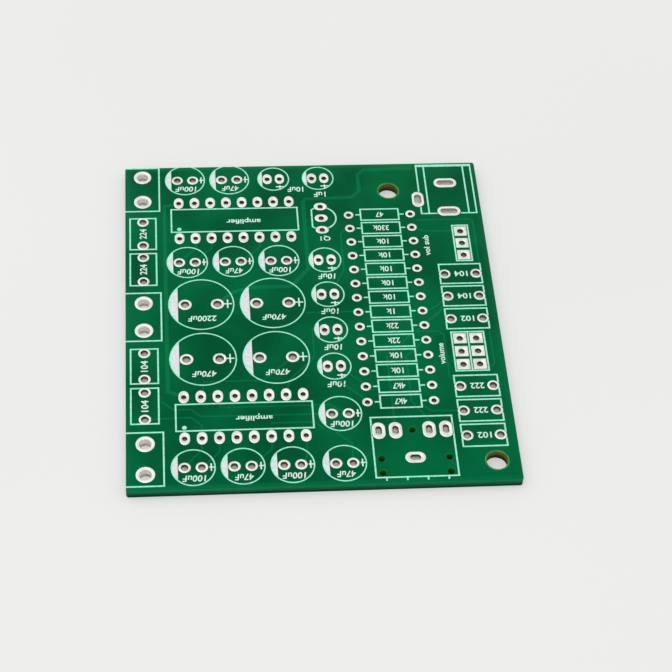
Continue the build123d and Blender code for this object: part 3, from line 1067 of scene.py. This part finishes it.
print_words(values_at(resistor_values, pairs_of("resistor_pads"), centred, value_advance), "resistor_values")
print_words(
    slanted_values(medium_values, pairs_of("medium_capacitor_pads"), medium_value_shift, medium_advance)
    + slanted_values(large_values, pairs_of("large_capacitor_pads"), large_value_shift, large_advance)
    + slanted_values(small_values, small_column, small_value_shift, medium_advance),
    "capacitor_values",
)
print_words(
    values_at(["10uF"], [rear_left], rear_left_value_shift, value_advance)
    + values_at(["1uF"], [rear_right], rear_right_value_shift, value_advance),
    "rear_capacitor_values",
)
print_words(
    values_at(left_film_values, pairs_of("film_capacitor_pads_left"), centred, film_advance, facing_right)
    + values_at(right_film_values, pairs_of("film_capacitor_pads_right"), right_film_shift, film_advance),
    "film_capacitor_values",
)
print_words(
    [
        name_at("amplifier", "amplifier_pads_rear", amplifier_name_shift, amplifier_name, facing_rear),
        name_at("amplifier", "amplifier_pads_front", amplifier_name_shift, amplifier_name, facing_rear),
        name_at("Q1", "transistor_pads", transistor_name_shift, transistor_name, facing_rear),
        name_at("volume", "volume_header_pads", volume_name_shift, volume_name, facing_right),
        name_at("vol sub", "sub_volume_header_pads", sub_volume_name_shift, sub_volume_name, facing_right),
    ],
    "component_names",
)


# Copper tracks under the mask: their routes in millimetres, from land to land

power_tracks = (
    ((18.3, 30.9), (10.35, 30.7), (9.2, 29.6), (9.2, 26.0), (7.85, 24.6), (0.3, 24.4), (-0.1, 23.8),
     (-0.1, 9.3), (-2.6, 6.3), (-3.4, 5.8), (-9.2, 5.8), (-12.1, 4.9), (-14.6, 2.56)),
    ((-20.2, 24.0), (-22.5, 23.3), (-22.5, -14.2), (-20.2, -15.4)),
)
front_amplifier_tracks = (
    ((-14.8, -15.4), (-14.8, -17.5), (1.6, -17.5), (2.6, -18.4), (4.1, -19.1)),
    ((-23.5, -16.1), (-21.65, -17.7), (-19.15, -17.7), (-17.7, -19.05), (1.5, -19.05)),
    ((-25.9, -19.2), (-19.15, -19.2), (-17.6, -20.7), (-17.7, -23.1)),
    ((-7.5, -20.6), (-1.0, -20.6), (0.3, -21.9)),
    ((-17.7, -23.0), (-17.7, -25.1), (-19.2, -26.8), (-20.3, -28.2)),
    ((-15.1, -23.0), (-15.1, -25.5), (-16.4, -26.9), (-17.8, -28.2)),
    ((-7.5, -23.0), (-7.5, -25.2), (-8.8, -26.6), (-10.4, -28.2)),
    ((-2.4, -23.0), (-2.4, -26.6), (-3.4, -28.2)),
)
rear_amplifier_tracks = (
    ((-17.6, 16.3), (-17.6, 14.2), (-19.3, 12.4), (-20.3, 11.2)),
    ((-15.1, 16.3), (-15.1, 14.2), (-16.9, 12.4), (-17.8, 11.2)),
    ((-7.5, 16.3), (-7.5, 14.2), (-9.3, 12.4), (-10.6, 11.2)),
)
capacitor_tracks = (
    ((-17.6, -15.4), (-17.0, -12.6), (-9.15, -12.6), (-7.6, -12.1), (-4.5, -9.2), (-3.5, -8.2)),
    ((-4.9, -15.4), (-4.2, -12.5), (-0.9, -9.2), (-0.25, -8.3), (-0.25, -2.8), (1.6, -3.1)),
    ((-1.0, 0.4), (6.3, 0.4), (7.1, 1.1)),
    ((7.1, 18.0), (6.3, 17.6), (5.5, 16.6), (5.5, 9.0), (4.6, 7.3), (3.7, 4.1)),
    ((3.7, -10.3), (5.2, -12.2), (6.6, -13.4), (7.1, -14.2)),
    ((3.0, -13.0), (4.25, -14.2), (6.6, -16.4), (7.1, -17.1)),
    ((1.9, -22.5), (4.25, -24.7), (4.25, -28.1)),
)
resistor_tracks = (
    ((18.0, 19.3), (26.6, 19.3), (27.06, 18.8), (27.06, -10.5), (26.4, -11.2)),
    ((17.1, 17.9), (18.9, 16.9), (24.7, 16.9)),
    ((17.1, -0.4), (18.0, 0.3), (19.7, 1.3), (21.3, 3.1)),
    ((17.1, -3.0), (18.0, -1.55), (19.7, -0.15), (21.3, 3.1)),
    ((12.1, -3.9), (19.1, -3.9), (19.9, -4.7), (19.9, -12.8), (21.3, -14.6)),
    ((13.3, -6.2), (14.7, -4.5), (17.1, -2.6)),
    ((13.3, -9.1), (16.3, -6.2), (17.1, -5.5)),
    ((10.8, -8.4), (10.8, -22.4)),
    ((13.7, -8.4), (13.7, -17.3), (15.8, -20.5), (15.8, -22.4)),
    ((14.9, -17.7), (16.4, -19.15), (21.3, -19.15)),
)
signal_tracks = front_amplifier_tracks + rear_amplifier_tracks + capacitor_tracks + resistor_tracks

all_lands = [solid for node in pad_nodes for solid in solids_of(node)]


def stop_at_land(end, before):
    """The end of a track, drawn back to the edge of the land that it runs to."""
    land = min(all_lands, key=lambda solid: on_plan(solid.middle - end).length)
    middle = on_plan(land.middle)
    reach = max(land.size.x, land.size.y) / 2 - land_round
    if (end - middle).length > reach:
        return end
    return middle + (before - middle).normalized() * reach


def track(points, width):
    """A copper track under the mask: a low ridge along its route."""
    route = [Vector((x * MM, y * MM, 0)) for x, y in points]
    route[0] = stop_at_land(route[0], route[1])
    route[-1] = stop_at_land(route[-1], route[-2])
    here, *others = route
    deselect()
    bpy.ops.mesh.primitive_plane_add(size=width, location=here)
    line = settle(bpy.context.object)
    pick(line, "VERT")
    bpy.ops.mesh.merge(type="CENTER")
    for point in others:
        bpy.ops.mesh.extrude_region_move(TRANSFORM_OT_translate={"value": point - here})
        here = point
    bpy.ops.object.mode_set(mode="OBJECT")
    bpy.ops.object.convert(target="CURVE")
    curve = bpy.context.object.data
    curve.bevel_depth = width / 2
    curve.bevel_resolution = track_curve_steps
    curve.use_fill_caps = True
    bpy.ops.object.convert(target="MESH")
    ridge = bpy.context.object
    flatten = Matrix.Diagonal((1, 1, 2 * track_rise / width, 1))
    ridge.data.transform(Matrix.Translation((0, 0, board_top)) @ flatten)
    return ridge


ridges = [track(points, power_track) for points in power_tracks]
ridges += [track(points, signal_track) for points in signal_tracks]
tracks = smooth(join(ridges, "covered_tracks"), track_smoothing)
finish_piece(tracks, covered_copper, "solder_mask")


# Camera, floor and light

level_right = Vector((math.cos(camera_azimuth), math.sin(camera_azimuth), 0))
back = Vector((
    math.sin(camera_azimuth) * math.cos(camera_elevation),
    -math.cos(camera_azimuth) * math.cos(camera_elevation),
    math.sin(camera_elevation),
))
turned = Matrix.Rotation(camera_roll, 3, back)
right = turned @ level_right
up = turned @ back.cross(level_right)
deselect()
bpy.ops.object.camera_add(location=camera_target + back * camera_distance)
camera = bpy.context.object
camera.rotation_euler = Matrix((right, up, back)).transposed().to_euler()
camera.data.lens = camera_lens
camera.data.sensor_width = camera_sensor
camera.data.clip_start = camera_near_limit
bpy.context.scene.camera = camera

bpy.ops.mesh.primitive_plane_add(size=floor_size, location=(0, 0, -floor_gap))
floor = bpy.context.object
floor.name = "floor"
floor.data.materials.append(pale_floor("pale_floor", colour(234, 235, 233), colour(239, 239, 237)))

world = bpy.data.worlds.new("studio")
bpy.context.scene.world = world
world.use_nodes = True
background = world.node_tree.nodes["Background"]
background.inputs["Color"].default_value = (1, 1, 1, 1)
background.inputs["Strength"].default_value = world_strength

deselect()
bpy.ops.object.light_add(type="AREA", location=lamp_place)
lamp = bpy.context.object
lamp.data.energy = lamp_power
lamp.data.size = lamp_size
lamp.rotation_euler = (-lamp.location).to_track_quat("-Z", "Y").to_euler()

bpy.context.scene.view_settings.view_transform = "Standard"
